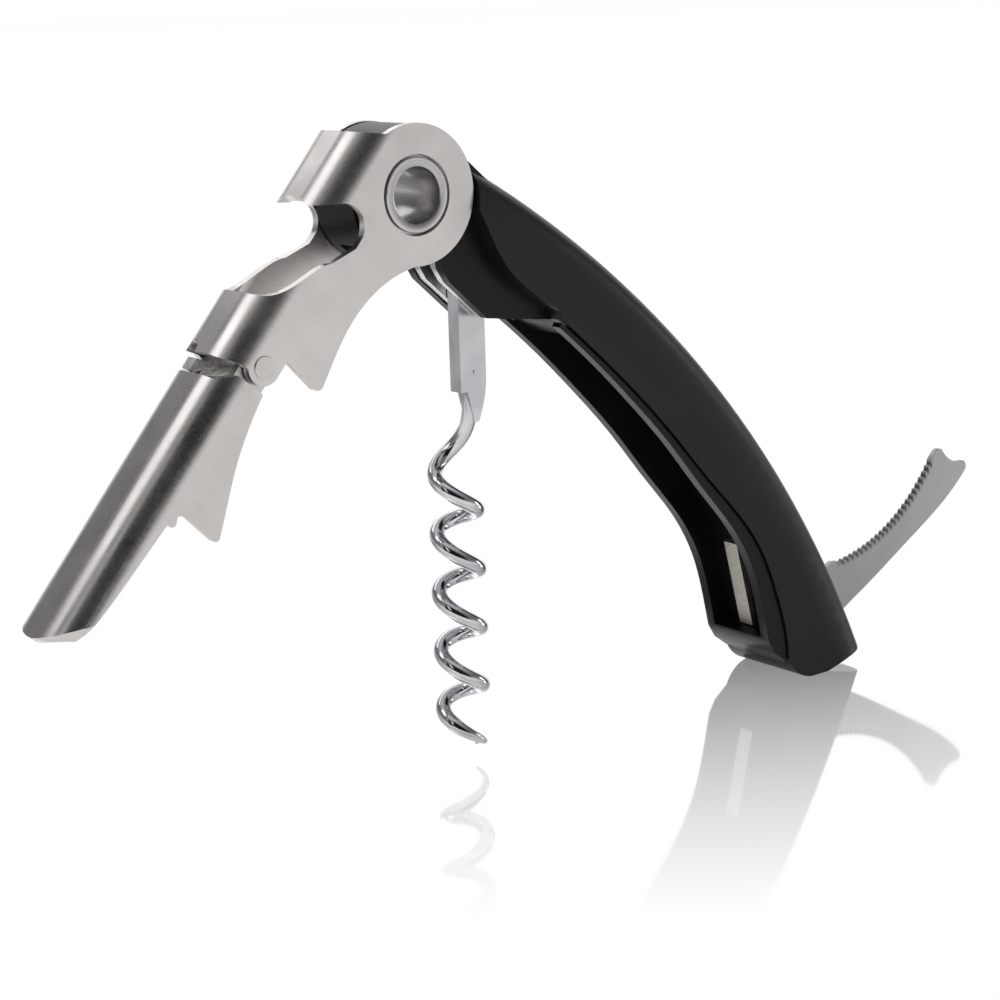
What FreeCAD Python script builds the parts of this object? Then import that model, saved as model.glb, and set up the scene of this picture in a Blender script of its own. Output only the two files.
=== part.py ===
"""Double-hinged lever corkscrew: handle with worm and foil blade, two-part fulcrum lever.

Frame: +Z up, origin at the centre of the hollow head axle, the axle along Y, the handle
towards +X and down, the lever towards -X and down. The blade and the worm are swung out
and the tool stands on the flat end of its handle. All lengths are millimetres.
"""
import FreeCAD, Part
import math
import os
import re

import Sketcher
from FreeCAD import Placement, Rotation, Vector

os.makedirs("parts", exist_ok=True)
doc = FreeCAD.newDocument("lever_corkscrew")

# ---------------------------------------------------------------- driving dimensions
DIMENSIONS = {
    "ear_width": 12.0,           # outside width of both levers
    "sheet_gauge": 1.2,          # lever sheet thickness
    "ear_radius": 9.4,           # round head of the upper lever
    "web_height": 12.4,          # back of the upper lever above the head axis
    "lower_height": 11.8,        # back of the lower lever above the head axis
    "bend_radius": 4.4,          # outside of the bend between web and ear
    "ear_reach": 10.0,           # how far an unfolded ear reaches past the head axis
    "lever_tilt": 130.1,         # lever direction, turned about +Y from +X
    "bore_radius": 3.7,          # open bore of the head axle
    "tube_radius": 4.6,
    "tube_length": 12.2,
    "ring_radius": 5.3,
    "ear_hole": 5.38,
    "washer_radius": 8.0,
    "washer_gauge": 0.35,
    "cheek_width": 8.7,          # over both cheeks of the tongue
    "tongue_radius": 9.3,
    "liner_inner": 1.35,         # mid-plane to the inner face of a liner
    "liner_gauge": 1.4,
    "liner_bay": 5.6,            # slot between the cheeks
    "stud_radius": 1.0,
    "stud_length": 8.0,          # also the length of the worm pin and the blade pin
    "pin_x": 12.1,               # worm pin
    "pin_z": -13.4,
    "worm_pin": 1.25,
    "worm_fold": 49.3,           # swing that lays the worm in its channel
    "shank_width": 4.5,
    "shank_gauge": 2.4,
    "shank_bottom": -28.4,
    "wire_radius": 1.1,
    "coil_radius": 2.9,          # centre line of the wire about the worm's axis
    "coil_pitch": 8.6,
    "coil_lean": 0.5,            # the turns lie a little aslant on the axis
    "coil_top": -40.4,           # height of the first bend of the coil
    "lead_top": -30.2,           # where the wire leaves the straight
    "worm_tip": -80.5,           # height of the worm's point
    "tip_radius": 0.15,
    "joint_s": 31.2,             # lever joint, along the lever
    "joint_n": 6.4,              # and above its axis line
    "rivet_radius": 1.1,
    "rivet_head": 1.5,
    "head_gauge": 0.2,
    "rivet_play": 0.05,
    "tab_width": 9.0,            # over both hinge tabs of the lower lever
    "tab_gauge": 1.2,
    "detent_gauge": 2.0,
    "detent_side": 2.25,         # mid-plane to the middle of the detent plate
    "handle_width": 14.4,
    "core_width": 11.7,
    "rim_width": 13.7,
    "cover_wall": 1.4,
    "back_radius": 181.0,        # lengthwise curve of the handle's back
    "back_x": -76.3,             # its centre
    "back_z": -155.5,
    "back_sweep": 80.0,          # angle the back's section is turned through
    "foot_z": -82.6,             # flat end of the handle
    "channel_width": 10.4,
    "pivot_x": 81.0,             # blade pivot
    "pivot_z": -75.0,
    "blade_tilt": 30.1,          # blade direction above +X
    "blade_fold": 95.6,          # swing that shuts the blade
    "blade_gauge": 1.0,
    "blade_pin": 1.5,
    "blade_slot": 1.5,
    "blade_washer": 3.5,
    "spring_width": 2.8,
}

sheet = doc.addObject("Spreadsheet::Sheet", "Dimensions")
for row, (alias, value) in enumerate(DIMENSIONS.items(), start=1):
    sheet.set("A%d" % row, alias)
    sheet.set("B%d" % row, str(value))
    sheet.setAlias("B%d" % row, alias)
doc.recompute()


def dim(alias):
    """Value of one driving dimension, read back from the sheet."""
    return float(sheet.get(alias))


def bind(thing, target, formula):
    """Tie a property to the sheet. The formula's words that are aliases name its cells."""
    def cell(match):
        word = match.group()
        return "Dimensions." + word if word in DIMENSIONS else word

    thing.setExpression(target, re.sub("[a-z_]+", cell, formula))


# ---------------------------------------------------------------- outlines
def arc_through(start, middle, end):
    """Arc of a circle in the sketch plane through three points."""
    circle = Part.Circle(start, middle, end)
    centre = circle.Center
    first, via, last = [math.atan2(p.y - centre.y, p.x - centre.x) for p in (start, middle, end)]
    if (via - first) % (2 * math.pi) > (last - first) % (2 * math.pi):
        first, last = last, first
    flat = Part.Circle(centre, Vector(0, 0, 1), circle.Radius)
    return Part.ArcOfCircle(flat, first, first + (last - first) % (2 * math.pi))


def outline(start, *steps, up=1):
    """Closed outline. A step of one point is a line, of two an arc, of more a smooth curve.

    With up=-1 the second coordinate is measured towards -Z, as on the levers and the blade,
    whose backs face -Z in their own frames.
    """
    here = Vector(start[0], up * start[1], 0)
    first = here
    edges = []
    for step in steps:
        points = [Vector(p[0], up * p[1], 0) for p in step]
        if len(points) == 1:
            edges.append(Part.LineSegment(here, points[0]))
        elif len(points) == 2:
            edges.append(arc_through(here, points[0], points[1]))
        else:
            curve = Part.BSplineCurve()
            curve.interpolate([here] + points)
            edges.append(curve)
        here = points[-1]
    if (here - first).Length > 1e-6:
        edges.append(Part.LineSegment(here, first))
    return edges


def line(*points):
    """The steps of a run of straight lines through the points."""
    return [(point,) for point in points]


# ---------------------------------------------------------------- modelling helpers
def new_body(label):
    body = doc.addObject("PartDesign::Body", label)
    body.Label = label
    return body


def sketch_on(body, name, edges, role="XZ_Plane", lift=0.0):
    """Sketch on an origin plane of the body, moved off it by lift along its normal."""
    sketch = body.newObject("Sketcher::SketchObject", name)
    plane = next(f for f in body.Origin.OriginFeatures if f.Role == role)
    sketch.AttachmentSupport = (plane, [""])
    sketch.MapMode = "FlatFace"
    sketch.AttachmentOffset = Placement(Vector(0, 0, lift), Rotation())
    sketch.addGeometry(edges, False)
    return sketch


def add_circle(sketch, across, up, radius):
    """Circle whose centre and radius are tied to the sheet."""
    index = sketch.addGeometry(Part.Circle(Vector(1, 1, 0), Vector(0, 0, 1), 1), False)
    for kind, formula in (("DistanceX", across), ("DistanceY", up)):
        spot = sketch.addConstraint(Sketcher.Constraint(kind, -1, 1, index, 3, 1.0))
        bind(sketch, "Constraints[%d]" % spot, formula)
    spot = sketch.addConstraint(Sketcher.Constraint("Radius", index, 1.0))
    bind(sketch, "Constraints[%d]" % spot, radius)


def extrude(body, kind, sketch, length, symmetric=True, backwards=False):
    feature = body.newObject("PartDesign::" + kind, sketch.Name + "_" + kind.lower())
    feature.Profile = sketch
    feature.SideType = "Symmetric" if symmetric else "One side"
    feature.Reversed = backwards
    bind(feature, "Length", length)
    doc.recompute()


def pad(body, sketch, length, **sense):
    extrude(body, "Pad", sketch, length, **sense)


def pocket(body, sketch, length, **sense):
    before = body.Shape.Volume
    extrude(body, "Pocket", sketch, length, **sense)
    if not body.Shape.Volume < before - 1e-3:
        raise RuntimeError(sketch.Name + " cut nothing")


def drill(body, name, across, up, radius):
    """Round hole along Y right through the body."""
    sketch = sketch_on(body, name, [])
    add_circle(sketch, across, up, radius)
    pocket(body, sketch, "ear_width * 2")


def plate(label, edges, width, holes=()):
    """Flat piece centred on the mid-plane. Each hole is (across, up, radius)."""
    body = new_body(label)
    pad(body, sketch_on(body, label + "_outline", edges), width)
    for number, hole in enumerate(holes):
        drill(body, "%s_hole_%d" % (label, number), *hole)
    return body


def place_along_y(solid, across, near, up):
    solid.Placement = Placement(Vector(0, 0, 0), Rotation(Vector(1, 0, 0), -90))
    for axis, formula in (("x", across), ("y", near), ("z", up)):
        bind(solid, ".Placement.Base." + axis, formula)


def pin(label, radius, length, across="0", up="0"):
    """Plain pin along Y, centred on the mid-plane."""
    solid = doc.addObject("Part::Cylinder", label)
    solid.Label = label
    bind(solid, "Radius", radius)
    bind(solid, "Height", length)
    place_along_y(solid, across, "-(%s) / 2" % length, up)
    return solid


def ring(label, outer, inner, near, length, across="0", up="0"):
    """Flat ring or tube along Y from y = near over its length."""
    walls = []
    for end, radius in (("outside", outer), ("inside", inner)):
        solid = doc.addObject("Part::Cylinder", label + "_" + end)
        bind(solid, "Radius", radius)
        bind(solid, "Height", length)
        place_along_y(solid, across, near, up)
        walls.append(solid)
    return combine("Part::Cut", label, Base=walls[0], Tool=walls[1])


def combine(kind, label, **inputs):
    """Boolean of whole shapes: Part::Cut with Base and Tool, Part::MultiFuse with Shapes."""
    result = doc.addObject(kind, label)
    result.Label = label
    for name, value in inputs.items():
        setattr(result, name, value)
    doc.recompute()
    return result


def both_sides(make, name):
    """Left (towards -Y) and right copies of a piece, from make(label, sign)."""
    return [make(name + "_left", -1), make(name + "_right", 1)]


def side_start(sign, inner, length):
    """Where a piece between y = inner and inner + length starts, on its side."""
    return inner if sign > 0 else "-(%s) - (%s)" % (inner, length)


# ---------------------------------------------------------------- lever sheet metal
def channel_section(body, name, height, first, last):
    """Folded-sheet channel along X between two stations, its web at z = -height."""
    gauge = dim("sheet_gauge")
    root = math.sqrt(0.5)
    for stage, inset in (("outside", 0), ("inside", gauge)):
        half = dim("ear_width") / 2 - inset
        top = dim(height) - inset
        bend = dim("bend_radius") - inset
        near, shoulder = half - bend, top - bend
        edges = outline(
            (-half, -dim("ear_reach")),
            *line((-half, shoulder)),
            ((-near - bend * root, shoulder + bend * root), (-near, top)),
            *line((near, top)),
            ((near + bend * root, shoulder + bend * root), (half, shoulder)),
            *line((half, -dim("ear_reach"))), up=-1)
        spare = 1 if inset else 0
        sketch = sketch_on(body, name + "_" + stage, edges, "YZ_Plane", first - spare)
        length = str(last - first + 2 * spare)
        if inset:
            pocket(body, sketch, length, symmetric=False, backwards=True)
        else:
            pad(body, sketch, length, symmetric=False)


def trim_outside(body, name, edges, role="XZ_Plane", reach=260.0):
    """Cut away everything outside an outline."""
    frame = outline((-reach, -reach), *line((reach, -reach), (reach, reach), (-reach, reach)))
    pocket(body, sketch_on(body, name, frame + edges, role), "ear_width * 5")


def turn_to_lever(body):
    """Turn a piece drawn along X to the lever's direction."""
    body.Placement = Placement(Vector(0, 0, 0), Rotation(Vector(0, 1, 0), dim("lever_tilt")))
    bind(body, ".Placement.Rotation.Angle", "lever_tilt")
    doc.recompute()
    return body


def upper_lever():
    body = new_body("upper_lever")
    channel_section(body, "upper", "web_height", -10.0, 34.0)
    head = dim("ear_radius")
    rivet_s, rivet_n = dim("joint_s"), dim("joint_n")
    end_round = 2.4
    trim_outside(body, "upper_side", outline(
        (-3.4, 8.764),
        ((-2.6, 10.0), (-1.6, 11.5), (-0.4, 13.4)),
        *line((10.2, 13.4), (10.3, 11.9), (8.0, 9.2)),
        ((7.0, 6.1), (9.4, 3.8)),
        *line((11.2, 3.8), (14.9, 5.8)),
        ((22.0, 9.7), (23.6, 11.2), (24.3, 13.4)),
        *line((33.4, 13.4), (33.4, 11.9), (32.7, 9.6), (32.7, rivet_n + 1.87)),
        ((rivet_s + end_round, rivet_n), (rivet_s, rivet_n - end_round)),
        *line((28.7, 4.0), (29.4, -1.7)),
        ((29.1, -2.4), (28.2, -2.6)),
        ((24.3, -1.9), (20.5, -1.45), (15.0, -1.9), (11.0, -3.3), (7.6, -5.532)),
        ((-head * math.sqrt(0.5), -head * math.sqrt(0.5)), (-3.4, 8.764)), up=-1))
    relief = outline((40, 3.6), *line((33.4, 3.6)), ((31.7, 2.25), (33.4, 0.9)), *line((40, 0.9)))
    web_notch = sketch_on(body, "upper_web_notch", relief, "XY_Plane", -dim("web_height") - 1)
    pocket(body, web_notch, "sheet_gauge + 2", symmetric=False, backwards=True)
    scallop = outline((13, -3.6), *line((10.3, -3.6)), ((9.3, 0), (10.3, 3.6)), *line((13, 3.6)))
    hook_edge = sketch_on(body, "upper_hook_edge", scallop, "XY_Plane", -dim("web_height") - 1)
    pocket(body, hook_edge, "sheet_gauge + 2", symmetric=False, backwards=True)
    drill(body, "upper_head_hole", "0", "0", "ear_hole")
    drill(body, "upper_rivet_hole", "joint_s", "-joint_n", "rivet_radius")
    return turn_to_lever(body)


def lower_lever():
    body = new_body("lower_lever")
    channel_section(body, "lower", "lower_height", 34.0, 76.0)
    rivet_s, rivet_n = dim("joint_s"), dim("joint_n")
    trim_outside(body, "lower_side", outline(
        (34.1, 4.5),
        *line((34.1, 9.0), (36.0, 10.9), (36.3, 13.0), (76.0, 13.0), (75.2, 10.4)),
        ((74.6, 9.2), (73.6, 8.7)),
        ((68.4, 7.9), (61.0, 7.2), (54.6, 6.7)),
        ((53.2, 6.1), (52.6, 4.7)),
        *line((53.1, -0.3)),
        ((52.8, -0.85), (52.2, -0.85)),
        ((47.5, 1.0), (43.5, 2.5), (39.0, 3.7), (34.1, 4.5)), up=-1))
    tip = outline((20, -8), *line((69.5, -8), (69.5, -6)), ((75, 0), (69.5, 6)),
                  *line((69.5, 8), (20, 8)))
    trim_outside(body, "lower_plan", tip, "XY_Plane")
    tab = 2.4
    hinge = outline((rivet_s, rivet_n - tab), ((rivet_s - tab, rivet_n), (rivet_s, rivet_n + tab)),
                    *line((38.0, rivet_n + tab), (38.0, rivet_n - 1.2), (34.4, rivet_n - tab)), up=-1)
    pad(body, sketch_on(body, "lower_tabs", hinge), "tab_width")
    joggle = outline((34.1, 4.6), *line((34.1, 8.8), (38.0, 8.8), (38.0, 5.2)), up=-1)
    pad(body, sketch_on(body, "lower_joggle", joggle), "ear_width - sheet_gauge")
    between = outline((28.0, 3.0), *line((28.0, 9.2), (39.0, 9.2), (39.0, 3.0)), up=-1)
    pocket(body, sketch_on(body, "lower_gap", between), "tab_width - tab_gauge * 2")
    drill(body, "lower_rivet_hole", "joint_s", "-joint_n", "rivet_radius + rivet_play")
    return turn_to_lever(body)


def detent_plate():
    """Plate between the hinge tabs. Its nose fills the gap between the two webs."""
    rivet_s, rivet_n = dim("joint_s"), dim("joint_n")
    ear = 2.5
    edges = outline((rivet_s, rivet_n - ear), ((rivet_s - ear, rivet_n), (rivet_s, rivet_n + ear)),
                    *line((33.5, 9.6), (33.9, 11.4), (35.6, 11.4), (35.6, 10.7), (34.8, 9.85),
                          (39.0, 9.85), (39.0, 8.0), (34.4, rivet_n - ear)), up=-1)
    body = plate("detent_plate", edges, "detent_gauge",
                 [("joint_s", "-joint_n", "rivet_radius + rivet_play")])
    bind(body, ".Placement.Base.y", "detent_side")
    return turn_to_lever(body)


def at_rivet(label, solid_maker):
    """Round piece on the lever joint's axis, whose place follows from the lever's direction."""
    across = "joint_s * cos(lever_tilt * 1 deg) - joint_n * sin(lever_tilt * 1 deg)"
    up = "0 - joint_s * sin(lever_tilt * 1 deg) - joint_n * cos(lever_tilt * 1 deg)"
    return solid_maker(label, across, up)


def joint_rivet():
    """Shaft with a low spread head on the outside of each ear."""
    shaft = at_rivet("joint_rivet_shaft", lambda name, across, up: pin(
        name, "rivet_radius", "ear_width + head_gauge * 2", across, up))
    heads = both_sides(lambda label, sign: at_rivet(label, lambda name, across, up: ring(
        name, "rivet_head", "rivet_radius", side_start(sign, "ear_width / 2", "head_gauge"),
        "head_gauge", across, up)), "joint_rivet_head")
    return combine("Part::MultiFuse", "joint_rivet", Shapes=[shaft] + heads)


def joint_spacer():
    """Tube on the rivet that keeps the detent plate against the far hinge tab."""
    start = "tab_gauge - tab_width / 2"
    width = "tab_width / 2 - tab_gauge + detent_side - detent_gauge / 2"
    return at_rivet("joint_spacer", lambda name, across, up: ring(
        name, "rivet_radius * 2", "rivet_radius + rivet_play", start, width, across, up))


# ---------------------------------------------------------------- worm
def worm_angle(height):
    """Angle of the wire about the worm's axis at a height, from +X towards +Y."""
    first_bend = math.radians(141.2)
    drop = height - dim("coil_top")
    if drop <= 0:
        return first_bend - drop * 2 * math.pi / dim("coil_pitch")
    lead = (dim("lead_top") - height) / (dim("lead_top") - dim("coil_top"))
    return first_bend * max(lead, 0) ** 2


def worm_point(height):
    """Centre line of the wire: straight on the shank's axis, then a left-hand coil."""
    turn = worm_angle(height)
    axis_x = dim("pin_x") - dim("coil_radius") + 0.05
    settle = min(1.0, max(0.0, (dim("lead_top") - height) / 8.0))
    aslant = settle * dim("coil_lean") * math.cos(turn - math.radians(141.2))
    return Vector(axis_x + dim("coil_radius") * math.cos(turn),
                  dim("coil_radius") * math.sin(turn), height + aslant)


def wire_sweep(path, first, last, start_radius, end_radius):
    """Round wire along one stretch of the centre line."""
    stretch = path.copy()
    stretch.segment(first, last)
    shell = Part.BRepOffsetAPI.MakePipeShell(Part.Wire(stretch.toShape()))
    shell.setFrenetMode(False)
    ends = [(first, start_radius)]
    if end_radius != start_radius:
        ends.append((last, end_radius))
    for spot, radius in ends:
        circle = Part.Circle(path.value(spot), Vector(*path.tangent(spot)[0]), radius)
        shell.add(Part.Wire(circle.toShape()))
    shell.build()
    shell.makeSolid()
    return shell.shape()


def worm():
    """Flat shank that hangs on the worm pin, drawn out into the coiled wire."""
    half = dim("shank_width") / 2
    pin_x, pin_z, bottom = dim("pin_x"), dim("pin_z"), dim("shank_bottom")
    wire = dim("wire_radius")
    blade = outline(
        (pin_x - half, pin_z), ((pin_x, pin_z + half), (pin_x + half, pin_z)),
        *line((pin_x + half, bottom + 1.6)),
        ((pin_x + 1.9, bottom - 1.0), (pin_x + 1.45, bottom - 2.6), (pin_x + 0.8, bottom - 4.4)),
        *line((pin_x, bottom - 4.4), (pin_x - wire, bottom), (pin_x - half, bottom)))
    shank = plate("worm_shank", blade, "shank_gauge", [("pin_x", "pin_z", "worm_pin + 0.05")])
    lead = dim("lead_top") - 0.2
    tip = dim("worm_tip")
    steps = 96
    taper_steps = 8
    path = Part.BSplineCurve()
    path.interpolate([worm_point(lead + (tip - lead) * i / steps) for i in range(steps + 1)])
    spots = path.getKnots()
    shoulder = spots[-1 - taper_steps]
    coil = wire_sweep(path, spots[0], shoulder, wire, wire)
    point = wire_sweep(path, shoulder, spots[-1], wire, dim("tip_radius"))
    root = path.value(spots[0])
    buried = 5.0
    neck = Part.makeCylinder(wire, buried, root, path.tangent(spots[0])[0] * -1)
    piece = doc.addObject("Part::Feature", "worm")
    piece.Label = "worm"
    piece.Shape = shank.Shape.fuse([neck, coil, point]).removeSplitter()
    return piece


# ---------------------------------------------------------------- handle
STEP = ((10.6, -4.8), (14.0, -10.8), (19.0, -15.2), (23.3, -17.9))
SEAM = ((31.0, -25.5), (38.4, -32.3), (45.4, -39.5), (52.1, -46.9), (59.0, -54.2),
        (63.6, -60.9), (66.5, -67.9), (68.2, -73.3), (68.9, -78.1))
RIM_EDGE = ((30.3, -26.3), (37.5, -33.2), (44.4, -40.4), (50.9, -48.1), (57.4, -55.7),
            (61.5, -62.9), (63.8, -70.6), (64.8, -75.0))
CROWN = ((4.6, 0.97), (2.3, 0.87), (0.8, 0.6))
ABOVE = 8.0                     # outlines run this high, clear of the handle's back
BEYOND = 100.0                  # and this far past its end


def crowned_bar(label, width, inset, edges):
    """Bar with the handle's curved, crowned back, trimmed to a side outline."""
    body = new_body(label)
    half = dim(width) / 2
    start = dim("back_x")
    crest = start + dim("back_radius") - inset
    depth, shoulder = 26.0, 7.5
    section = outline(
        (crest - depth, -half),
        *line((crest - shoulder, -half)),
        tuple((crest - down, -share * half) for down, share in CROWN)
        + ((crest, 0),)
        + tuple((crest - down, share * half) for down, share in reversed(CROWN))
        + ((crest - shoulder, half),),
        *line((crest - depth, half)))
    sketch = sketch_on(body, label + "_section", section, "XY_Plane", dim("back_z"))
    sketch.addGeometry(Part.LineSegment(Vector(start, -9, 0), Vector(start, 9, 0)), True)
    turned = body.newObject("PartDesign::Revolution", label + "_sweep")
    turned.Profile = sketch
    turned.ReferenceAxis = (sketch, ["Axis0"])
    turned.Reversed = True
    bind(turned, "Angle", "back_sweep")
    doc.recompute()
    trim_outside(body, label + "_side", edges)
    return body


def along_blade(*points):
    """Points given from the blade pivot along the shut blade and out towards its back."""
    turn = math.radians(dim("blade_tilt") + dim("blade_fold"))
    return [(dim("pivot_x") + b * math.cos(turn) + w * math.sin(turn),
             dim("pivot_z") + b * math.sin(turn) - w * math.cos(turn)) for b, w in points]


def blade_slot_outline():
    start, *path = along_blade((44.2, 9), (44.2, 1.5), (38.6, -4.2), (36.0, -4.2), (30, -1.9),
                               (20, -1.2), (8.0, -4.9), (5.5, -6.0))
    via, end, past, back = along_blade((-2.1, -7.86), (-7.5, -3.15), (-14, -3.15), (-14, 9))
    return outline(start, *line(*path), (via, end), *line(past, back))


def handle_pieces():
    foot = dim("foot_z")
    heel = (78.0, foot)         # behind it the end of the handle rises to the back
    end = (BEYOND, foot + 0.24 * (BEYOND - heel[0]))
    core_step = ((12.1, -4.2), (15.2, -9.8), (19.9, -14.1), (25.2, -17.6))
    within = 0.3                # the rim stands this far below the core all along its edge
    core_edge = [(x + within, z + within) for x, z in RIM_EDGE]
    core = crowned_bar("core", "core_width", dim("cover_wall"), outline(
        (11.4, ABOVE), *line((11.4, 0)), core_step, *line((25.4, -21.8)), core_edge,
        *line((66.2, -77.2), (73.6, foot), heel, end, (BEYOND, ABOVE))))
    radius = dim("tongue_radius")
    low = (radius * math.cos(math.radians(-60)), radius * math.sin(math.radians(-60)))
    tongue = plate("tongue", outline(
        low, ((-radius, 0), (radius * math.sqrt(0.5), radius * math.sqrt(0.5))),
        *line((14.0, 0.2), (26.0, -9.5), (28.0, -22.0), (24.2, -19.4), (12.4, -17.9), (6.2, -12.4),
              (5.0, -10.4))), "cheek_width")
    gap = 0.2
    lower_seam = [(x - gap, z - gap) for x, z in SEAM]
    rim = plate("rim", outline(
        (23.6, -19.6), lower_seam, *line((68.9, -79.17), (66.2, -77.2), RIM_EDGE[-1]),
        tuple(reversed(RIM_EDGE[:-1])) + ((23.2, -20.2),)), "rim_width")
    blank = combine("Part::MultiFuse", "frame_blank", Shapes=[core, tongue, rim])

    slot = plate("blade_slot_cut", blade_slot_outline(), "blade_slot")
    cover_blank = crowned_bar("cover_blank", "handle_width", 0, outline(
        (9.1, 4.0), ((9.9, 0.0), (9.55, -2.6)), STEP, *line((23.7, -19.2)), SEAM,
        ((70.9, -81.2), (74.4, foot)), *line(heel, end, (BEYOND, ABOVE), (9.1, ABOVE))))
    inside = combine("Part::MultiFuse", "cover_inside", Shapes=[blank, slot])
    cover = combine("Part::Cut", "handle_cover", Base=cover_blank, Tool=inside)

    fold = math.radians(dim("worm_fold") - 90)
    along = (math.cos(fold), math.sin(fold))
    into = (-along[1], along[0])

    def channel(distance, depth):
        return (dim("pin_x") + distance * along[0] + depth * into[0],
                dim("pin_z") + distance * along[1] + depth * into[1])

    bed = 2.55
    mouth = 9.0
    worm_room = plate("worm_channel_cut", outline(
        channel(12, bed), *line((28.6, -22.3), (31.5, -20.8)),
        ((36.5, -23.9), (43.0, -30.2), (49.5, -37.4), (55.7, -45.1), (61.0, -52.4), (64.5, -59.1)),
        *line((67.9, -73.6), (60.0, -75.8), channel(68.6, -mouth), channel(12, -mouth))),
        "channel_width")
    liner_room = plate("liner_bay_cut", outline(
        (-6.7, -3.8), ((0, 7.702), (6.67, 3.85)),
        *line((14.0, -3.0), (23.6, -9.5), (23.6, -26.0), (0, -26.0), (-6.7, -12.0))), "liner_bay")
    holes = [pin("frame_head_hole", "tube_radius", "ear_width"),
             pin("frame_worm_pin_hole", "worm_pin", "stud_length", "pin_x", "pin_z"),
             pin("frame_blade_pin_hole", "blade_pin", "stud_length", "pivot_x", "pivot_z")]
    holes += [pin("frame_stud_hole_%d" % number, "stud_radius", "stud_length", *spot)
              for number, spot in enumerate(STUDS)]
    cuts = combine("Part::MultiFuse", "frame_cuts", Shapes=[worm_room, liner_room, slot] + holes)
    frame = combine("Part::Cut", "handle_frame", Base=blank, Tool=cuts)
    return [cover, frame]


STUDS = (("-5.95", "1.6"), ("20.4", "-10.6"))


def liner(label, sign):
    """Hardened plate that carries the worm pin and the head axle on one side of the worm."""
    body = new_body(label)
    sketch = sketch_on(body, label + "_outline", outline(
        (4.5, -8.0), *line((-3.75, -6.495)), ((-5.303, 5.303), (6.495, 3.75)),
        *line((13.8, -3.1), (23.4, -9.7), (23.4, -19.1), (12.5, -17.7), (6.35, -12.3), (5.15, -10.3))))
    pad(body, sketch, "liner_gauge", symmetric=False, backwards=sign > 0)
    drill(body, label + "_head_hole", "0", "0", "tube_radius")
    drill(body, label + "_worm_pin_hole", "pin_x", "pin_z", "worm_pin")
    for number, (across, up) in enumerate(STUDS):
        drill(body, "%s_stud_hole_%d" % (label, number), across, up, "stud_radius")
    bind(body, ".Placement.Base.y", "liner_inner" if sign > 0 else "-liner_inner")
    doc.recompute()
    return body


def liner_studs():
    studs = [pin("stud_%d" % number, "stud_radius", "stud_length", *spot)
             for number, spot in enumerate(STUDS)]
    return combine("Part::MultiFuse", "liner_studs", Shapes=studs)


def head_stack():
    """Hollow axle, the ring on each end that the ears turn on, and the washers inside them."""
    tube = ring("head_tube", "tube_radius", "bore_radius", "-tube_length / 2", "tube_length")
    washer_start = "cheek_width / 2"
    ring_start = "cheek_width / 2 + washer_gauge"
    ring_length = "tube_length / 2 - cheek_width / 2 - washer_gauge"
    rings = both_sides(lambda label, sign: ring(
        label, "ring_radius", "tube_radius", side_start(sign, ring_start, ring_length),
        ring_length), "head_ring")
    washers = both_sides(lambda label, sign: ring(
        label, "washer_radius", "tube_radius", side_start(sign, washer_start, "washer_gauge"),
        "washer_gauge"), "head_washer")
    return [tube] + rings + washers


def foil_blade():
    """Foil blade, drawn from its pivot with the convex back up, then swung out."""
    teeth = 24
    first, last = 36.2, 9.6
    deep, middle, curve = 0.42, 22.6, 0.0165
    edge = []
    for step in range(2 * teeth + 1):
        b = first + (last - first) * step / (2 * teeth)
        w = -0.5 - curve * (b - middle) ** 2
        edge.append((b, w + (deep if step % 2 else 0)))
    tang = 5.0
    body = plate("foil_blade", outline(
        (2.0, 4.583),
        ((6.5, 4.55), (12.7, 4.8), (24.4, 4.95), (36.7, 4.7), (42.1, 3.7)),
        ((43.0, 2.9), (42.9, 2.0)),
        ((40.4, -0.1), (39.3, -3.4)),
        ((38.5, -4.0), (37.4, -3.95)),
        *line(*edge),
        *line((8.4, -4.2), (5.0, -4.6), (2.0, -4.583)),
        ((-tang, 0), (2.0, 4.583)), up=-1), "blade_gauge")
    drill(body, "foil_blade_hole", "0", "0", "blade_pin + 0.05")
    body.Placement = Placement(Vector(dim("pivot_x"), 0, dim("pivot_z")),
                               Rotation(Vector(0, 1, 0), -dim("blade_tilt")))
    for axis, formula in (("Base.x", "pivot_x"), ("Base.z", "pivot_z"),
                          ("Rotation.Angle", "0 - blade_tilt")):
        bind(body, ".Placement." + axis, formula)
    doc.recompute()
    return body


def blade_washers():
    width = "blade_slot / 2 - blade_gauge / 2 - 0.03"
    return both_sides(lambda label, sign: ring(
        label, "blade_washer", "blade_pin", side_start(sign, "blade_gauge / 2 + 0.03", width),
        width, "pivot_x", "pivot_z"), "blade_washer")


def blade_spring():
    return plate("blade_spring", outline(
        (63.05, -59.75), *line((64.2, -59.4), (67.75, -73.55), (66.6, -73.8))), "spring_width")


# ---------------------------------------------------------------- build and export
pieces = handle_pieces()
pieces += both_sides(liner, "liner") + [liner_studs()] + head_stack()
pieces += [pin("worm_pin", "worm_pin", "stud_length", "pin_x", "pin_z"), worm()]
pieces += [foil_blade(), pin("blade_pin", "blade_pin", "stud_length", "pivot_x", "pivot_z")]
pieces += blade_washers() + [blade_spring()]
pieces += [upper_lever(), lower_lever(), detent_plate(), joint_rivet(), joint_spacer()]
doc.recompute()

for thing in doc.Objects:
    if "Invalid" in thing.State or "Error" in thing.State:
        raise RuntimeError("%s did not compute: %s" % (thing.Label, thing.State))
for piece in pieces:
    if piece.Shape.isNull() or not piece.Shape.isValid():
        raise RuntimeError(piece.Label + " has no valid shape")
for piece in pieces:
    piece.Shape.exportStep("parts/%s.step" % piece.Label)
    print("%-16s %2d solid  %9.2f mm3" % (piece.Label, len(piece.Shape.Solids), piece.Shape.Volume))
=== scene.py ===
"""Looks of the lever corkscrew: rounded edges, coiled worm, brushed and polished steel, black mouldings."""
import math

import bmesh
import bpy
from mathutils import Matrix, Vector


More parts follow.
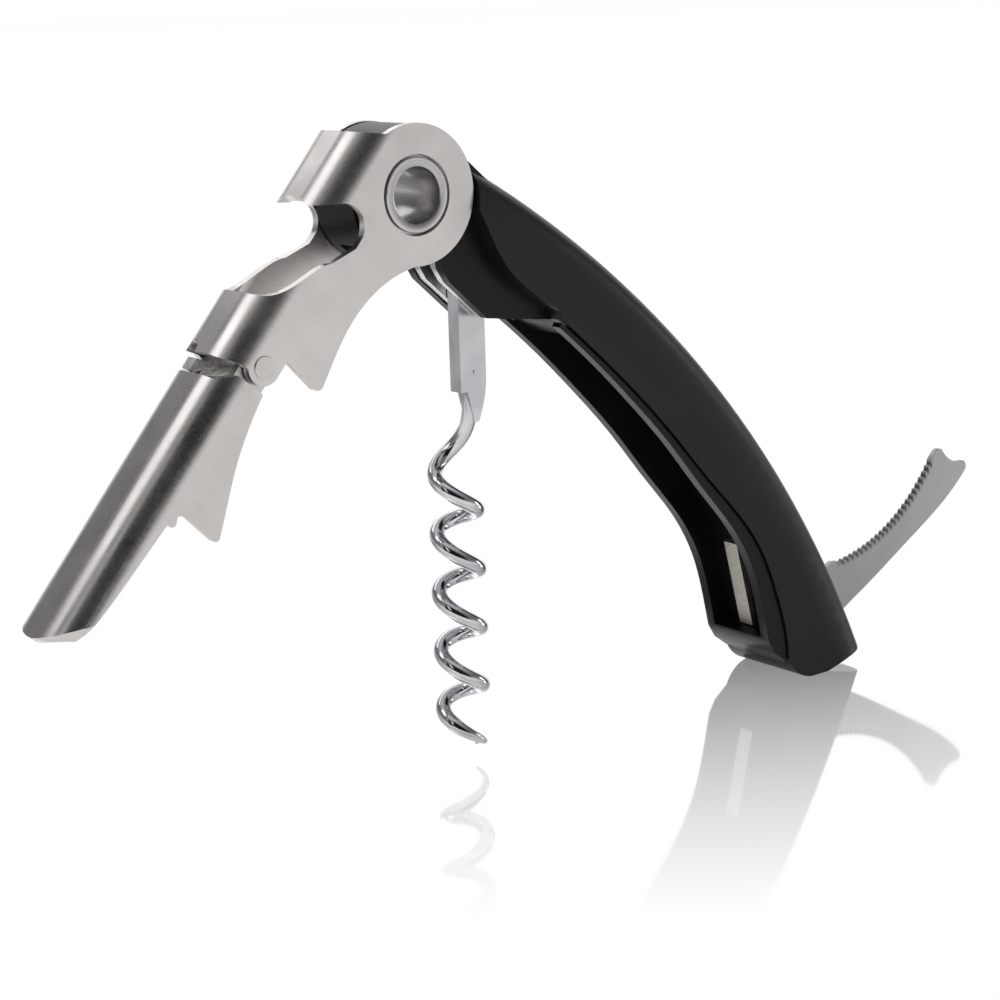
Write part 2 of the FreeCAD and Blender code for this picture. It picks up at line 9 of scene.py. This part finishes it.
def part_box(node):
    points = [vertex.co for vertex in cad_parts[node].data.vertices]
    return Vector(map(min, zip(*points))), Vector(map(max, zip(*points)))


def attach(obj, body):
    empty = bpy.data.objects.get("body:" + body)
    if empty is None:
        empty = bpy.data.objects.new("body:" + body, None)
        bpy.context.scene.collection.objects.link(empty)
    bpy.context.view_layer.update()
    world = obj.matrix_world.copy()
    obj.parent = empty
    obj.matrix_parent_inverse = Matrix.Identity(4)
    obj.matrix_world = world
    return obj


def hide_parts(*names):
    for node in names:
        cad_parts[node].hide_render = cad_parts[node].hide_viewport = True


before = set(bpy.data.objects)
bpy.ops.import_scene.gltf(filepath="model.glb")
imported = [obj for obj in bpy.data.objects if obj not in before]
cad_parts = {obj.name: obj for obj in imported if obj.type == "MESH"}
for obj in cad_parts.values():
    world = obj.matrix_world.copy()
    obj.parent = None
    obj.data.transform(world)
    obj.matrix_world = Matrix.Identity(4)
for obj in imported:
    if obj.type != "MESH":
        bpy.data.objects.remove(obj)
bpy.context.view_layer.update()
MM = 0.001
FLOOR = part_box("handle_frame")[0].z


# ---------------------------------------------------------------- node helpers
def shader_sheet(name):
    """New material with its Principled shader and a function that adds and wires nodes."""
    material = bpy.data.materials.new(name)
    material.use_nodes = True
    tree = material.node_tree
    return material, tree, tree.nodes["Principled BSDF"]


def add(tree, kind, **values):
    """Node of a kind. A value that is a socket is wired in, any other is set as the default."""
    node = tree.nodes.new("ShaderNode" + kind)
    for name, value in values.items():
        if hasattr(node, name) and name not in node.inputs:
            setattr(node, name, value)
            continue
        socket = node.inputs[name]
        if isinstance(value, bpy.types.NodeSocket):
            tree.links.new(value, socket)
        else:
            socket.default_value = value
    return node


def along(tree, vector, direction):
    """How far a vector socket reaches along a fixed direction."""
    node = add(tree, "VectorMath", operation="DOT_PRODUCT")
    tree.links.new(vector, node.inputs[0])
    node.inputs[1].default_value = direction
    return node.outputs["Value"]


def math_node(tree, operation, first, second=0.5):
    node = tree.nodes.new("ShaderNodeMath")
    node.operation = operation
    for socket, value in zip(node.inputs, (first, second)):
        if isinstance(value, bpy.types.NodeSocket):
            tree.links.new(value, socket)
        else:
            socket.default_value = value
    return node.outputs[0]


def spread(tree, value, low, high, to_low=0.0, to_high=1.0):
    """Map a value from one range to another, held at the ends."""
    node = tree.nodes.new("ShaderNodeMapRange")
    for socket, number in zip(list(node.inputs)[1:5], (low, high, to_low, to_high)):
        if isinstance(number, bpy.types.NodeSocket):
            tree.links.new(number, socket)
        else:
            socket.default_value = number
    tree.links.new(value, node.inputs[0])
    return node.outputs[0]


def blend_colour(tree, share, first, second):
    node = tree.nodes.new("ShaderNodeMix")
    node.data_type = "RGBA"
    for socket, value in ((node.inputs[0], share), (node.inputs[6], first), (node.inputs[7], second)):
        if isinstance(value, bpy.types.NodeSocket):
            tree.links.new(value, socket)
        else:
            socket.default_value = value
    return node.outputs[2]


def effect_group(name, inputs, outputs):
    """Empty node group with named inputs (name, kind, default) and outputs (name, kind)."""
    group = bpy.data.node_groups.new(name, "ShaderNodeTree")
    for label, kind, default in inputs:
        socket = group.interface.new_socket(label, in_out="INPUT", socket_type="NodeSocket" + kind)
        socket.default_value = default
    for label, kind in outputs:
        group.interface.new_socket(label, in_out="OUTPUT", socket_type="NodeSocket" + kind)
    return group, group.nodes.new("NodeGroupInput"), group.nodes.new("NodeGroupOutput")


def place(tree, group, **values):
    """Put an effect group in a material. Underscores in a name stand for spaces."""
    node = tree.nodes.new("ShaderNodeGroup")
    node.node_tree = group
    for name, value in values.items():
        socket = node.inputs[name.replace("_", " ")]
        if isinstance(value, bpy.types.NodeSocket):
            tree.links.new(value, socket)
        else:
            socket.default_value = value
    return node


def object_point(tree, turn=(0, 0, 0), stretch=(1, 1, 1)):
    """Object coordinates, turned and stretched so that a pattern runs along the piece."""
    coordinates = add(tree, "TexCoord")
    mapping = add(tree, "Mapping", Vector=coordinates.outputs["Object"], Rotation=turn, Scale=stretch)
    return mapping.outputs[0]


# ---------------------------------------------------------------- effects shared by materials
def make_brushed_lines():
    """Fine lines drawn along X of the point it is given, with broad uneven polish."""
    group, given, out = effect_group(
        "brushed lines",
        [("Point", "Vector", (0, 0, 0)), ("Line Size", "Float", 9000.0), ("Length Ratio", "Float", 0.02),
         ("Depth", "Float", 0.5)],
        [("Lines", "Float"), ("Polish", "Float")])
    ratio = add(group, "CombineXYZ", X=given.outputs["Length Ratio"], Y=1.0, Z=1.0)
    drawn = add(group, "VectorMath", operation="MULTIPLY")
    group.links.new(given.outputs["Point"], drawn.inputs[0])
    group.links.new(ratio.outputs[0], drawn.inputs[1])
    fine = add(group, "TexNoise", Vector=drawn.outputs[0], Scale=given.outputs["Line Size"],
               Detail=3.0, Roughness=0.7)
    coarse = add(group, "TexNoise", Vector=drawn.outputs[0], Detail=2.0,
                 Scale=math_node(group, "MULTIPLY", given.outputs["Line Size"], 0.28))
    lines = math_node(group, "MULTIPLY", fine.outputs["Fac"], 0.65)
    mixed = math_node(group, "ADD", lines, math_node(group, "MULTIPLY", coarse.outputs["Fac"], 0.35))
    group.links.new(math_node(group, "MULTIPLY", mixed, given.outputs["Depth"]), out.inputs["Lines"])
    clouds = add(group, "TexNoise", Vector=given.outputs["Point"], Scale=160.0, Detail=3.0)
    group.links.new(clouds.outputs["Fac"], out.inputs["Polish"])
    return group


def make_fine_grain():
    """Moulded or blasted grain with a slow unevenness under it."""
    group, given, out = effect_group(
        "fine grain",
        [("Point", "Vector", (0, 0, 0)), ("Grain Size", "Float", 6000.0), ("Patch Size", "Float", 200.0)],
        [("Grain", "Float"), ("Patches", "Float")])
    grain = add(group, "TexNoise", Vector=given.outputs["Point"], Scale=given.outputs["Grain Size"],
                Detail=2.0, Roughness=0.6)
    patches = add(group, "TexNoise", Vector=given.outputs["Point"], Scale=given.outputs["Patch Size"],
                  Detail=4.0)
    group.links.new(grain.outputs["Fac"], out.inputs["Grain"])
    group.links.new(patches.outputs["Fac"], out.inputs["Patches"])
    return group


def make_edge_wear():
    """Mask of the raised edges, where handling has polished them, broken up by noise."""
    group, given, out = effect_group(
        "edge wear", [("Point", "Vector", (0, 0, 0)), ("Reach", "Float", 0.08)], [("Wear", "Float")])
    geometry = add(group, "NewGeometry")
    noise = add(group, "TexNoise", Vector=given.outputs["Point"], Scale=900.0, Detail=3.0)
    lifted = math_node(group, "ADD", geometry.outputs["Pointiness"],
                       math_node(group, "MULTIPLY", noise.outputs["Fac"], 0.03))
    top = math_node(group, "ADD", 0.53, given.outputs["Reach"])
    group.links.new(spread(group, lifted, 0.53, top), out.inputs["Wear"])
    return group


def make_fine_dust():
    """Sparse specks and faint smears that lie more thickly on what faces up."""
    group, given, out = effect_group(
        "fine dust", [("Point", "Vector", (0, 0, 0)), ("Amount", "Float", 0.3)], [("Dust", "Float")])
    specks = add(group, "TexNoise", Vector=given.outputs["Point"], Scale=2400.0, Detail=1.0)
    spots = spread(group, specks.outputs["Fac"], 0.68, 0.75)
    smears = add(group, "TexNoise", Vector=given.outputs["Point"], Scale=90.0, Detail=5.0)
    faint = spread(group, smears.outputs["Fac"], 0.5, 0.8, 0.0, 0.5)
    normal = add(group, "SeparateXYZ", Vector=add(group, "NewGeometry").outputs["Normal"])
    up = spread(group, normal.outputs["Z"], -0.2, 1.0, 0.35, 1.0)
    both = math_node(group, "ADD", spots, faint)
    dust = math_node(group, "MULTIPLY", math_node(group, "MULTIPLY", both, up), given.outputs["Amount"])
    group.links.new(dust, out.inputs["Dust"])
    return group


BRUSHED = make_brushed_lines()
GRAIN = make_fine_grain()
WEAR = make_edge_wear()
DUST = make_fine_dust()


# ---------------------------------------------------------------- materials
def brushed_steel(name, turn, colour, rough=(0.26, 0.42), line_size=9000.0, bump=0.12, worn=0.25):
    """Satin stainless whose brush lines run along the turned X direction."""
    material, tree, shader = shader_sheet(name)
    point = object_point(tree, turn)
    lines = place(tree, BRUSHED, Point=point, Line_Size=line_size, Length_Ratio=0.018, Depth=1.0)
    wear = place(tree, WEAR, Point=point, Reach=0.06)
    dust = place(tree, DUST, Point=point, Amount=0.12)
    dark = tuple(c * 0.84 for c in colour) + (1,)
    toned = blend_colour(tree, spread(tree, lines.outputs["Lines"], 0.35, 0.65), dark, tuple(colour) + (1,))
    worn_share = math_node(tree, "MULTIPLY", wear.outputs["Wear"], worn)
    bright = tuple(min(1, c * 1.18) for c in colour) + (1,)
    toned = blend_colour(tree, worn_share, toned, bright)
    dusty = blend_colour(tree, dust.outputs["Dust"], toned, (0.62, 0.61, 0.59, 1))
    tree.links.new(dusty, shader.inputs["Base Color"])
    shader.inputs["Metallic"].default_value = 1.0
    polish = spread(tree, lines.outputs["Polish"], 0.3, 0.7, rough[0], rough[1])
    drawn = math_node(tree, "MULTIPLY", spread(tree, lines.outputs["Lines"], 0.3, 0.7), 0.08)
    tree.links.new(math_node(tree, "ADD", polish, drawn), shader.inputs["Roughness"])
    relief = add(tree, "Bump", Strength=bump, Distance=0.00002, Height=lines.outputs["Lines"])
    tree.links.new(relief.outputs[0], shader.inputs["Normal"])
    return material


BLADE_TILT = math.radians(30.1)         # blade direction above +X
BLADE_PIVOT = Vector((0.081, 0, -0.075))
TOOTH_PITCH = 0.001108


def paint_scallop_shade(material):
    """Paint shade into the scallops ground along the blade's toothed edge: their colour is darkened where
    the hollow grind, which is not modelled, would look dark.

    The edge is a shallow bow: its height above the blade's axis is lowest 22.6 mm from the pivot.
    """
    tree = material.node_tree
    shader = tree.nodes["Principled BSDF"]
    plain = shader.inputs["Base Color"].links[0].from_socket
    forward = Vector((math.cos(BLADE_TILT), 0, math.sin(BLADE_TILT)))
    upward = Vector((-math.sin(BLADE_TILT), 0, math.cos(BLADE_TILT)))
    point = object_point(tree)
    reach = math_node(tree, "SUBTRACT", along(tree, point, forward), BLADE_PIVOT.dot(forward))
    height = math_node(tree, "SUBTRACT", along(tree, point, upward), BLADE_PIVOT.dot(upward))
    off_middle = math_node(tree, "SUBTRACT", reach, 0.0226)
    bow = math_node(tree, "MULTIPLY", math_node(tree, "MULTIPLY", off_middle, off_middle), 16.5)
    below_edge = math_node(tree, "SUBTRACT", height, math_node(tree, "ADD", bow, 0.0005))
    band = spread(tree, below_edge, -0.0013, -0.0006)
    wave = math_node(tree, "SINE", math_node(tree, "MULTIPLY", reach, 2 * math.pi / TOOTH_PITCH))
    scallop = spread(tree, wave, -0.5, 0.6, 0.25, 0.9)
    toothed = math_node(tree, "MULTIPLY", spread(tree, reach, 0.0088, 0.0098),
                        spread(tree, reach, 0.0368, 0.0358))
    share = math_node(tree, "MULTIPLY", math_node(tree, "MULTIPLY", band, scallop), toothed)
    # painted shade: near-black colour stands in for the shade of the hollow-ground scallops
    tree.links.new(blend_colour(tree, share, plain, (0.10, 0.10, 0.10, 1)), shader.inputs["Base Color"])


def grained_steel(name, colour, rough, grain_size, bump, depth=0.00003):
    """Unbrushed steel: sheared, blasted or mill finish."""
    material, tree, shader = shader_sheet(name)
    point = object_point(tree)
    grain = place(tree, GRAIN, Point=point, Grain_Size=grain_size, Patch_Size=260.0)
    wear = place(tree, WEAR, Point=point, Reach=0.06)
    dark = tuple(c * 0.7 for c in colour) + (1,)
    toned = blend_colour(tree, spread(tree, grain.outputs["Grain"], 0.3, 0.65), dark, tuple(colour) + (1,))
    bright = tuple(min(1, c * 1.2) for c in colour) + (1,)
    toned = blend_colour(tree, math_node(tree, "MULTIPLY", wear.outputs["Wear"], 0.3), toned, bright)
    tree.links.new(toned, shader.inputs["Base Color"])
    shader.inputs["Metallic"].default_value = 1.0
    tree.links.new(spread(tree, grain.outputs["Patches"], 0.3, 0.7, rough[0], rough[1]),
                   shader.inputs["Roughness"])
    relief = add(tree, "Bump", Strength=bump, Distance=depth, Height=grain.outputs["Grain"])
    tree.links.new(relief.outputs[0], shader.inputs["Normal"])
    return material


def polished_chrome(name):
    """Bright plating with faint ripples and handling marks."""
    material, tree, shader = shader_sheet(name)
    point = object_point(tree)
    grain = place(tree, GRAIN, Point=point, Grain_Size=900.0, Patch_Size=220.0)
    dust = place(tree, DUST, Point=point, Amount=0.1)
    toned = blend_colour(tree, spread(tree, grain.outputs["Patches"], 0.35, 0.65),
                         (0.52, 0.52, 0.54, 1), (0.64, 0.64, 0.66, 1))
    tree.links.new(blend_colour(tree, dust.outputs["Dust"], toned, (0.5, 0.5, 0.5, 1)),
                   shader.inputs["Base Color"])
    shader.inputs["Metallic"].default_value = 1.0
    height = add(tree, "SeparateXYZ", Vector=point).outputs["Z"]
    ground = spread(tree, height, -0.0335, -0.0305, 0.0, 0.2)        # the flat shank is satin
    polish = spread(tree, grain.outputs["Patches"], 0.3, 0.7, 0.05, 0.13)
    tree.links.new(math_node(tree, "ADD", polish, ground), shader.inputs["Roughness"])
    relief = add(tree, "Bump", Strength=0.06, Distance=0.00006, Height=grain.outputs["Grain"])
    tree.links.new(relief.outputs[0], shader.inputs["Normal"])
    return material


def moulded_black(name, colour, rough, grain_size, bump, worn_colour, specular=0.5):
    """Black moulding with a fine grain, slightly polished edges and a little dust."""
    material, tree, shader = shader_sheet(name)
    point = object_point(tree)
    grain = place(tree, GRAIN, Point=point, Grain_Size=grain_size, Patch_Size=140.0)
    wear = place(tree, WEAR, Point=point, Reach=0.09)
    dust = place(tree, DUST, Point=point, Amount=0.05)
    lighter = tuple(c * 1.35 for c in colour) + (1,)
    toned = blend_colour(tree, spread(tree, grain.outputs["Patches"], 0.35, 0.65), tuple(colour) + (1,),
                         lighter)
    toned = blend_colour(tree, math_node(tree, "MULTIPLY", wear.outputs["Wear"], 0.5), toned, worn_colour)
    toned = blend_colour(tree, dust.outputs["Dust"], toned, (0.3, 0.3, 0.31, 1))
    tree.links.new(toned, shader.inputs["Base Color"])
    uneven = spread(tree, grain.outputs["Patches"], 0.3, 0.7, rough[0], rough[1])
    polished = math_node(tree, "MULTIPLY", wear.outputs["Wear"], -0.08)
    tree.links.new(math_node(tree, "ADD", uneven, polished), shader.inputs["Roughness"])
    shader.inputs["Specular IOR Level"].default_value = specular
    relief = add(tree, "Bump", Strength=bump, Distance=0.00003, Height=grain.outputs["Grain"])
    tree.links.new(relief.outputs[0], shader.inputs["Normal"])
    return material


LEVER_TILT = math.radians(130.1)        # lever direction, turned about +Y from +X
ACROSS_LEVER = (0, math.radians(90) - LEVER_TILT, 0)

lever_steel = brushed_steel("brushed lever steel", ACROSS_LEVER, (0.60, 0.578, 0.562),
                            rough=(0.20, 0.30), line_size=11000.0, bump=0.07, worn=0.3)
head_steel = brushed_steel("turned head steel", (0, 0, math.radians(90)), (0.46, 0.45, 0.44),
                           rough=(0.16, 0.28), line_size=7000.0, bump=0.2)
blade_steel = brushed_steel("satin blade steel", (0, math.radians(60), 0), (0.50, 0.495, 0.485),
                            rough=(0.32, 0.44), line_size=8000.0, bump=0.1)
# painted shade in the blade's scallops along the toothed edge
paint_scallop_shade(blade_steel)
plate_steel = grained_steel("bright liner steel", (0.66, 0.66, 0.67), (0.22, 0.34), 5200.0, 0.12)
sheared_steel = grained_steel("sheared plate steel", (0.70, 0.69, 0.66), (0.3, 0.46), 1500.0, 0.75, 0.00012)
spring_steel = grained_steel("grainy spring steel", (0.62, 0.58, 0.53), (0.4, 0.55), 2600.0, 0.6, 0.00006)
ring_steel = grained_steel("speckled ring steel", (0.62, 0.605, 0.59), (0.28, 0.4), 3600.0, 0.35)
worm_chrome = polished_chrome("polished worm chrome")
cover_black = moulded_black("soft touch black", (0.006, 0.0064, 0.0078), (0.36, 0.44), 7000.0, 0.22,
                            (0.012, 0.012, 0.014, 1), 0.26)
frame_black = moulded_black("moulded glossy black", (0.004, 0.0042, 0.0052), (0.34, 0.42), 5000.0, 0.12,
                            (0.010, 0.010, 0.012, 1), 0.2)


# ---------------------------------------------------------------- mesh helpers
def piece_from(mesh, name, body, material, replaced=()):
    """Finished mesh as a piece that rides on a body and stands for CAD nodes."""
    data = bpy.data.meshes.new(name)
    mesh.to_mesh(data)
    mesh.free()
    piece = bpy.data.objects.new(name, data)
    bpy.context.scene.collection.objects.link(piece)
    data.materials.append(material)
    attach(piece, body)
    if replaced:
        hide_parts(*replaced)
    return piece


def merged_copy(node):
    """Copy of a CAD node's mesh with its loose triangles joined up and flat faces made whole."""
    mesh = bmesh.new()
    mesh.from_mesh(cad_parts[node].data)
    bmesh.ops.remove_doubles(mesh, verts=mesh.verts, dist=1e-6)
    bmesh.ops.dissolve_degenerate(mesh, edges=mesh.edges, dist=1e-6)
    bmesh.ops.dissolve_limit(mesh, angle_limit=math.radians(0.4), verts=mesh.verts, edges=mesh.edges,
                             use_dissolve_boundaries=False)
    return mesh


def eased(node, name, body, material, width, segments=2, crease=32.0):
    """CAD node with its sharp edges rounded to a small radius."""
    mesh = merged_copy(node)
    sharp = [e for e in mesh.edges if e.is_manifold and e.calc_face_angle(0) > math.radians(crease)]
    bmesh.ops.bevel(mesh, geom=sharp, offset=width, offset_type="OFFSET", segments=segments, profile=0.5,
                    affect="EDGES", clamp_overlap=True, material=-1)
    piece = piece_from(mesh, name, body, material, (node,))
    for face in piece.data.polygons:
        face.use_smooth = True
    piece.data.set_sharp_from_angle(angle=math.radians(38))
    weighting = piece.modifiers.new("even shading", "WEIGHTED_NORMAL")
    weighting.keep_sharp = True
    return piece


def turned(node, name, material, profile):
    """Ring-shaped piece turned about the head axle from a closed profile of (radius, y) in mm."""
    mesh = bmesh.new()
    corners = [mesh.verts.new((radius * MM, y * MM, 0)) for radius, y in profile]
    edges = [mesh.edges.new(pair) for pair in zip(corners, corners[1:] + corners[:1])]
    bmesh.ops.spin(mesh, geom=corners + edges, cent=(0, 0, 0), axis=(0, 1, 0), angle=2 * math.pi,
                   steps=128, use_merge=True)
    bmesh.ops.recalc_face_normals(mesh, faces=mesh.faces)
    piece = piece_from(mesh, name, "root", material, (node,))
    for face in piece.data.polygons:
        face.use_smooth = True
    piece.data.set_sharp_from_angle(angle=math.radians(38))
    return piece


# ---------------------------------------------------------------- the pieces
ROUNDED = [
    # node, new name, body, slot, material, edge radius
    ("upper_lever", "upper_lever_sheet", "upper_lever", "lever_steel", lever_steel, 0.16),
    ("joint_rivet", "joint_rivet_head", "upper_lever", "lever_steel", lever_steel, 0.1),
    ("lower_lever", "lower_lever_sheet", "lower_lever", "lever_steel", lever_steel, 0.16),
    ("detent_plate", "detent_plate_nose", "lower_lever", "sheared_steel", sheared_steel, 0.12),
    ("worm", "worm_wire", "worm", "worm_chrome", worm_chrome, 0.22),
    ("handle_cover", "handle_cover_shell", "root", "soft_black_cover", cover_black, 0.3),
    ("handle_frame", "handle_frame_core", "root", "glossy_black_frame", frame_black, 0.18),
    ("liner_left", "liner_plate_near", "root", "hardware_steel", plate_steel, 0.12),
    ("liner_right", "liner_plate_far", "root", "hardware_steel", plate_steel, 0.12),
    ("foil_blade", "foil_blade_ground", "foil_blade", "blade_steel", blade_steel, 0.07),
    ("blade_spring", "blade_spring_strip", "root", "spring_steel", spring_steel, 0.1),
]
for node, name, body, slot, material, radius in ROUNDED:
    eased(node, name, body, material, radius * MM)

TUBE_END = 6.1                  # the tube and the rings end flush at this distance from the mid-plane
turned("head_tube", "head_tube_lip", head_steel,
       [(3.7, -TUBE_END + 0.25), (3.78, -TUBE_END + 0.08), (3.95, -TUBE_END), (4.6, -TUBE_END),
        (4.6, TUBE_END), (3.95, TUBE_END), (3.78, TUBE_END - 0.08), (3.7, TUBE_END - 0.25)])
for node, name, side in (("head_ring_left", "head_ring_near", -1), ("head_ring_right", "head_ring_far", 1)):
    # the outer edge steps in, which leaves a dark groove between the ring and the lever's ear
    turned(node, name, ring_steel,
           [(4.6, side * 4.7), (5.3, side * 4.7), (5.3, side * 5.2), (4.96, side * 5.25),
            (4.96, side * (TUBE_END - 0.1)), (4.88, side * TUBE_END), (4.6, side * TUBE_END)])

for node, material in (
        ("worm_pin", plate_steel), ("blade_pin", plate_steel),
        ("liner_studs", plate_steel), ("head_washer_left", plate_steel), ("head_washer_right", plate_steel),
        ("blade_washer_left", plate_steel), ("blade_washer_right", plate_steel),
        ("joint_spacer", plate_steel)):
    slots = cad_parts[node].data.materials
    slots.clear()
    slots.append(material)


# ---------------------------------------------------------------- floor, light and camera
VIEW = Vector((0.60446, 0.76352, -0.22731))             # the way the camera looks
SIDE = Vector((0.77942, -0.62581, -0.02942))            # to its right
RISE = Vector((0.16471, 0.15939, 0.97338))              # and up for it
LEVEL = Vector((VIEW.x, VIEW.y, 0)).normalized()


def pale_floor():
    """White lit floor with a soft mirror that fades out in front of the tool and far behind it."""
    mesh = bmesh.new()
    bmesh.ops.create_grid(mesh, x_segments=1, y_segments=1, size=20.0)
    bmesh.ops.translate(mesh, verts=mesh.verts, vec=(0, 0, FLOOR))
    data = bpy.data.meshes.new("floor")
    mesh.to_mesh(data)
    mesh.free()
    floor = bpy.data.objects.new("floor", data)
    bpy.context.scene.collection.objects.link(floor)
    material = bpy.data.materials.new("white floor")
    material.use_nodes = True
    tree = material.node_tree
    tree.nodes.clear()
    distance = along(tree, add(tree, "TexCoord").outputs["Object"], LEVEL)
    in_front = spread(tree, distance, -0.050, 0.060, 0.0, 0.86)
    behind = spread(tree, distance, 0.10, 0.35, 1.0, 0.25)
    share = math_node(tree, "MULTIPLY", in_front, behind)
    lit = add(tree, "Emission", Color=(1, 1, 1, 1), Strength=1.0)
    mirror = add(tree, "BsdfGlossy", Color=(1, 1, 1, 1), Roughness=0.05)
    mix = add(tree, "MixShader")
    tree.links.new(share, mix.inputs[0])
    tree.links.new(lit.outputs[0], mix.inputs[1])
    tree.links.new(mirror.outputs[0], mix.inputs[2])
    output = tree.nodes.new("ShaderNodeOutputMaterial")
    tree.links.new(mix.outputs[0], output.inputs[0])
    data.materials.append(material)


def softbox(name, place_at, aim, width, height, radiance):
    """Rectangular lamp. Its power follows from how bright its face should look."""
    data = bpy.data.lights.new(name, "AREA")
    data.shape = "RECTANGLE"
    data.size, data.size_y = width, height
    data.energy = radiance * width * height * math.pi
    lamp = bpy.data.objects.new(name, data)
    lamp.location = place_at
    lamp.rotation_mode = "QUATERNION"
    lamp.rotation_quaternion = (Vector(aim) - Vector(place_at)).to_track_quat("-Z", "Y")
    bpy.context.scene.collection.objects.link(lamp)


def studio_world():
    """White backdrop for the lens. What the metal mirrors is a pale tent, dark behind the camera."""
    world = bpy.data.worlds.new("studio")
    bpy.context.scene.world = world
    world.use_nodes = True
    tree = world.node_tree
    tree.nodes.clear()
    direction = add(tree, "TexCoord").outputs["Generated"]
    height = add(tree, "SeparateXYZ", Vector=direction).outputs["Z"]
    tent = tree.nodes.new("ShaderNodeValToRGB")
    tree.links.new(spread(tree, height, -1.0, 1.0), tent.inputs[0])
    stops = tent.color_ramp.elements
    stops[0].position, stops[0].color = 0.0, (0.60, 0.60, 0.61, 1)
    stops[1].position, stops[1].color = 1.0, (0.80, 0.80, 0.82, 1)
    for position, grey in ((0.50, 0.48), (0.62, 0.26), (0.74, 0.18), (0.86, 0.36)):
        stop = stops.new(position)
        stop.color = (grey, grey, grey * 1.02, 1)
    backdrop = spread(tree, along(tree, direction, LEVEL), 0.72, 0.86)
    cloth = blend_colour(tree, backdrop, tent.outputs[0], (1, 1, 1, 1))
    camera_side = spread(tree, along(tree, direction, -LEVEL), 0.50, 0.70)
    above_floor = spread(tree, height, -0.12, 0.05)
    gloom = math_node(tree, "MULTIPLY", camera_side, above_floor)
    cloth = blend_colour(tree, gloom, cloth, (0.015, 0.015, 0.018, 1))
    seen = add(tree, "Background", Color=(1, 1, 1, 1), Strength=1.0)
    mirrored = add(tree, "Background", Color=cloth, Strength=1.0)
    mix = add(tree, "MixShader")
    tree.links.new(add(tree, "LightPath").outputs["Is Camera Ray"], mix.inputs[0])
    tree.links.new(mirrored.outputs[0], mix.inputs[1])
    tree.links.new(seen.outputs[0], mix.inputs[2])
    output = tree.nodes.new("ShaderNodeOutputWorld")
    tree.links.new(mix.outputs[0], output.inputs[0])


def studio_camera():
    """Long lens at the height of the tool's head, looking slightly down."""
    data = bpy.data.cameras.new("camera")
    data.lens = 77.53
    data.sensor_width = 36.0
    data.clip_start = 0.01
    camera = bpy.data.objects.new("camera", data)
    turn = Matrix((SIDE, RISE, -VIEW)).transposed().to_4x4()
    camera.matrix_world = Matrix.Translation(Vector((-0.169327, -0.235485, 0.025050))) @ turn
    bpy.context.scene.collection.objects.link(camera)
    bpy.context.scene.camera = camera


pale_floor()
studio_world()
softbox("key above left", (-0.36, 0.12, 0.47), (0.0, 0, -0.03), 0.35, 0.30, 1.5)
softbox("panel over the left shoulder", (-0.55, -0.30, 0.30), (0.0, 0, -0.03), 0.14, 0.35, 0.9)
softbox("low panel on the right", (0.58, -0.20, 0.03), (0.05, 0, -0.04), 0.16, 0.16, 2.4)
softbox("rim behind", (0.10, 0.60, 0.45), (0.03, 0, -0.03), 0.6, 0.25, 1.3)
studio_camera()
bpy.context.scene.view_settings.view_transform = "Standard"
